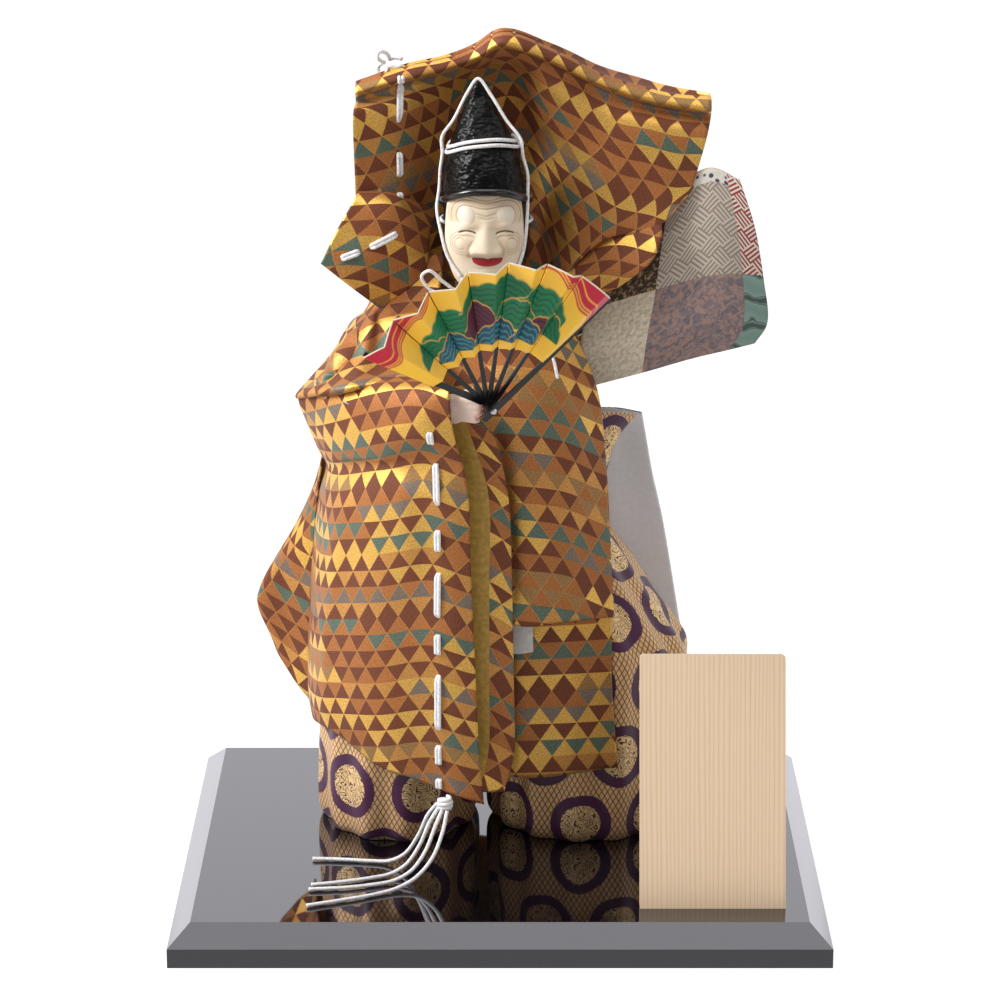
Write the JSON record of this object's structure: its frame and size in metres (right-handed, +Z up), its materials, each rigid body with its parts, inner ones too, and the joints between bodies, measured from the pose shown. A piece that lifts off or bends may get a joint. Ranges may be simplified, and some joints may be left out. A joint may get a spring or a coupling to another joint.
{
  "type": "noh doll",
  "caption": "Noh dancer doll in brocade robes with an old man mask, black hat and open folding fan, on a black lacquered base with a bare name board.",
  "frame": {"origin": "middle of the base board's underside", "axes": "+Z up, -Y towards the front that the mask and fan face, +X to the viewer's right"},
  "size_m": [0.33, 0.27, 0.438],
  "materials": {
    "lacquer": "gloss black lacquer",
    "pale_wood": "satin",
    "core_wood": "raw",
    "wire": "satin",
    "skin": "satin",
    "hair": "matte",
    "mask_white": "satin paint",
    "cap_black": "gloss lacquer",
    "cord_white": "matte",
    "robe_brocade": "brocade",
    "robe_lining": "matte",
    "hakama_brocade": "brocade",
    "hakama_lining": "matte",
    "inner_brocade": "brocade",
    "belt_cloth": "matte",
    "fan_lacquer": "gloss lacquer",
    "fan_paper": "satin",
    "silver": "polished"
  },
  "bodies": {
    "doll": {"base_board": "lacquer", "leg_post_left": "core_wood", "leg_post_right": "core_wood", "body_core": "core_wood", "arm_wire_right": "wire", "arm_wire_left": "wire", "hand_right": "skin", "hand_left": "skin", "sleeve_cord_right": "cord_white", "sleeve_cord_left": "cord_white", "corner_cord_left": "cord_white", "cord_loops_left": "cord_white", "sleeve_knot": "cord_white", "tassel_strand_1": "cord_white", "tassel_strand_2": "cord_white", "tassel_strand_3": "cord_white", "tassel_strand_4": "cord_white", "robe_collar": "robe_brocade", "robe_right_sleeve": "robe_brocade", "robe_right_sleeve_back": "robe_brocade", "robe_left_sleeve": "robe_brocade", "robe_front": "robe_brocade", "robe_skirt": "robe_brocade", "robe_back": "robe_brocade", "robe_right_sleeve_lining": "robe_lining", "hakama_left_leg": "hakama_brocade", "hakama_right_leg": "hakama_brocade", "hakama_back_panel": "hakama_brocade", "hakama_hip_panel": "hakama_brocade", "hakama_lining": "hakama_lining", "inner_robe": "inner_brocade", "inner_sleeve_left": "inner_brocade", "belt": "belt_cloth", "belt_tail": "belt_cloth", "fan_guard_left": "fan_lacquer", "fan_leaf_1": "fan_paper", "fan_rivet": "silver"},
    "head": {"head": "hair", "mask": "mask_white", "cap": "cap_black", "cap_band_lower": "cord_white", "cap_band_upper": "cord_white", "cap_edge_cord": "cord_white", "mask_cord": "cord_white", "chin_bow": "cord_white", "chin_cord_tail": "cord_white"},
    "name_board": {"name_board": "pale_wood"},
    "fan_blade_1": {"fan_rib_1": "fan_lacquer", "fan_leaf_2": "fan_paper"},
    "fan_blade_2": {"fan_rib_2": "fan_lacquer", "fan_leaf_3": "fan_paper"},
    "fan_blade_3": {"fan_rib_3": "fan_lacquer", "fan_leaf_4": "fan_paper"},
    "fan_blade_4": {"fan_rib_4": "fan_lacquer", "fan_leaf_5": "fan_paper"},
    "fan_blade_5": {"fan_rib_5": "fan_lacquer", "fan_leaf_6": "fan_paper"},
    "fan_blade_6": {"fan_rib_6": "fan_lacquer", "fan_leaf_7": "fan_paper"},
    "fan_blade_7": {"fan_guard_right": "fan_lacquer"}
  },
  "joints": [
    {"name": "head_turn", "type": "hinge", "parent": "doll", "child": "head", "pos_m": [-0.007, 0.017, 0.306], "axis": [0, 0, 1], "range_deg": [-12, 12]},
    {"name": "name_board_lift", "type": "slide", "parent": "doll", "child": "name_board", "axis": [0, 0.2756, 0.9613], "range_m": [0, 0.05]},
    {"name": "fan_fold_1", "type": "hinge", "parent": "doll", "child": "fan_blade_1", "pos_m": [-0.006, -0.066, 0.27], "axis": [0.4594, -0.8477, -0.2654], "range_deg": [0, 14.5], "deforming": ["fan_leaf_1"]},
    {"name": "fan_fold_2", "type": "hinge", "parent": "fan_blade_1", "child": "fan_blade_2", "pos_m": [-0.006, -0.066, 0.27], "axis": [0.4594, -0.8477, -0.2654], "range_deg": [0, 14.5], "deforming": ["fan_leaf_2"]},
    {"name": "fan_fold_3", "type": "hinge", "parent": "fan_blade_2", "child": "fan_blade_3", "pos_m": [-0.006, -0.066, 0.27], "axis": [0.4594, -0.8477, -0.2654], "range_deg": [0, 14.5], "deforming": ["fan_leaf_3"]},
    {"name": "fan_fold_4", "type": "hinge", "parent": "fan_blade_3", "child": "fan_blade_4", "pos_m": [-0.006, -0.066, 0.27], "axis": [0.4594, -0.8477, -0.2654], "range_deg": [0, 14.5], "deforming": ["fan_leaf_4"]},
    {"name": "fan_fold_5", "type": "hinge", "parent": "fan_blade_4", "child": "fan_blade_5", "pos_m": [-0.006, -0.066, 0.27], "axis": [0.4594, -0.8477, -0.2654], "range_deg": [0, 14.5], "deforming": ["fan_leaf_5"]},
    {"name": "fan_fold_6", "type": "hinge", "parent": "fan_blade_5", "child": "fan_blade_6", "pos_m": [-0.006, -0.066, 0.27], "axis": [0.4594, -0.8477, -0.2654], "range_deg": [0, 14.5], "deforming": ["fan_leaf_6"]},
    {"name": "fan_fold_7", "type": "hinge", "parent": "fan_blade_6", "child": "fan_blade_7", "pos_m": [-0.006, -0.066, 0.27], "axis": [0.4594, -0.8477, -0.2654], "range_deg": [0, 14.5], "deforming": ["fan_leaf_7"]}
  ],
  "couplings": [
    {"joint": "fan_fold_2", "follows": "fan_fold_1", "ratio": 1},
    {"joint": "fan_fold_3", "follows": "fan_fold_1", "ratio": 1},
    {"joint": "fan_fold_4", "follows": "fan_fold_1", "ratio": 1},
    {"joint": "fan_fold_5", "follows": "fan_fold_1", "ratio": 1},
    {"joint": "fan_fold_6", "follows": "fan_fold_1", "ratio": 1},
    {"joint": "fan_fold_7", "follows": "fan_fold_1", "ratio": 1}
  ]
}
